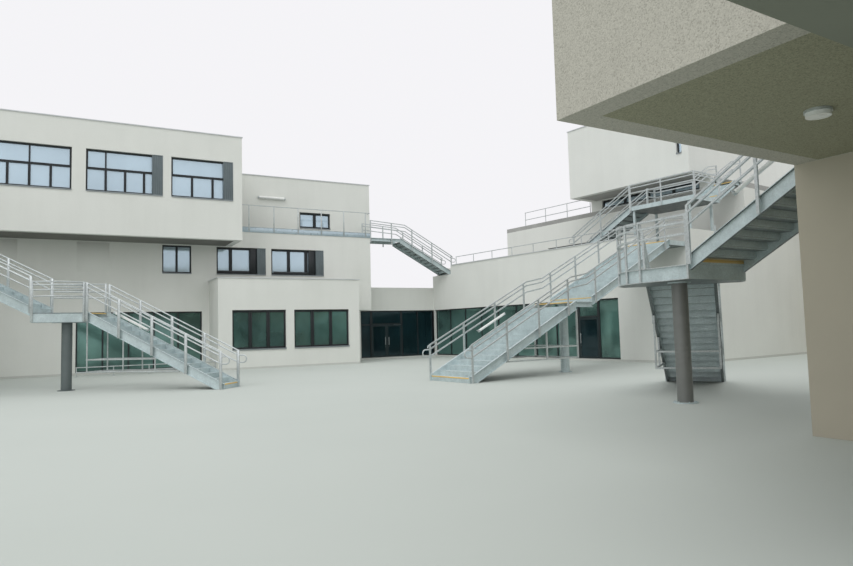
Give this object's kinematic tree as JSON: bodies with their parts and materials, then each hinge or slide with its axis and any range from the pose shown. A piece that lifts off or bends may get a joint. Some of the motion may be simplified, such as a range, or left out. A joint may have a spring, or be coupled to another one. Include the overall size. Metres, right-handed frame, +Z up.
{
  "type": "school building, 1:2 scale model",
  "caption": "School wings round a courtyard in light render, with galvanised outside stairs, a round stair landing, ribbon windows and glazed doors.",
  "frame": {"origin": "on the ground in the middle of the entrance doorway", "axes": "+X along the left wing's front to the right seen from the courtyard, +Y away from the courtyard, +Z up"},
  "size_m": [27.1325, 24.4662, 6.395],
  "materials": {
    "light_render": "fine light warm grey mineral render",
    "pebble_dash": "coarse pebble dash render, warm grey",
    "canopy_paint": "smooth green-grey painted soffit",
    "floors_and_roofs": "pale grey concrete",
    "anthracite_frames": "anthracite powder coat",
    "window_glass": "tinted double glazing that reflects a pale sky",
    "door_leaves": "navy black powder coat",
    "grey_shutters": "mid grey powder coat",
    "metal_copings": "folded grey metal",
    "galvanised_steel": "hot dip galvanised, soft spangle"
  },
  "bodies": {
    "building": {"east_walls": "pebble_dash", "front_end_walls": "pebble_dash", "front_floors_and_roof": "pebble_dash", "front_long_walls": "pebble_dash", "front_window_frames": "anthracite_frames", "front_window_glass": "window_glass", "left_back_wall": "light_render", "left_block_front_wall": "light_render", "left_block_side_walls": "light_render", "left_box_end_walls": "light_render", "left_box_front_wall": "light_render", "left_floors": "floors_and_roofs", "left_front_lower_wall": "light_render", "left_front_middle_wall": "light_render", "left_right_end_wall": "light_render", "left_roofs": "floors_and_roofs", "left_set_back_wall": "light_render", "left_stair": "galvanised_steel", "left_stair_rails": "galvanised_steel", "left_window_frames": "anthracite_frames", "left_window_glass": "window_glass", "link_floor_and_roof": "floors_and_roofs", "link_lintel": "light_render", "link_right_wall": "light_render", "link_walls": "light_render", "link_window_frames": "anthracite_frames", "link_window_glass": "window_glass", "main_stair": "galvanised_steel", "main_stair_rails": "galvanised_steel", "parapet_copings": "metal_copings", "porch_canopy": "canopy_paint", "right_box_end_walls": "light_render", "right_box_side_walls": "light_render", "right_floors": "floors_and_roofs", "right_front_band": "light_render", "right_front_piers": "light_render", "right_rear_wall": "light_render", "right_roofs": "floors_and_roofs", "right_side_walls": "light_render", "right_upper_far_wall": "light_render", "right_upper_front_wall": "light_render", "right_window_frames": "anthracite_frames", "right_window_glass": "window_glass", "round_landing": "galvanised_steel", "round_stair": "galvanised_steel", "round_stair_rails": "galvanised_steel", "terrace_rails": "galvanised_steel", "terrace_stair_rails": "galvanised_steel", "terrace_stairs": "galvanised_steel", "west_floors": "floors_and_roofs", "west_near_wall": "light_render", "west_side_walls": "light_render", "window_shutters": "grey_shutters"},
    "entrance_left_door": {"entrance_left_leaf": "door_leaves", "entrance_left_pane": "window_glass"},
    "entrance_right_door": {"entrance_right_leaf": "door_leaves", "entrance_right_pane": "window_glass"},
    "side_door": {"side_door_leaf": "door_leaves", "side_door_pane": "window_glass"}
  },
  "joints": [
    {"name": "entrance_left_hinge", "type": "hinge", "parent": "building", "child": "entrance_left_door", "pos_m": [-0.514, -0.015, 0.55], "axis": [0, 0, -1], "range_deg": [0, 90]},
    {"name": "entrance_right_hinge", "type": "hinge", "parent": "building", "child": "entrance_right_door", "pos_m": [0.514, -0.015, 0.55], "axis": [0, 0, 1], "range_deg": [0, 90]},
    {"name": "side_door_hinge", "type": "hinge", "parent": "building", "child": "side_door", "pos_m": [2.57224, -6.65909, 0.55], "axis": [0, 0, 1], "range_deg": [0, 90]}
  ]
}
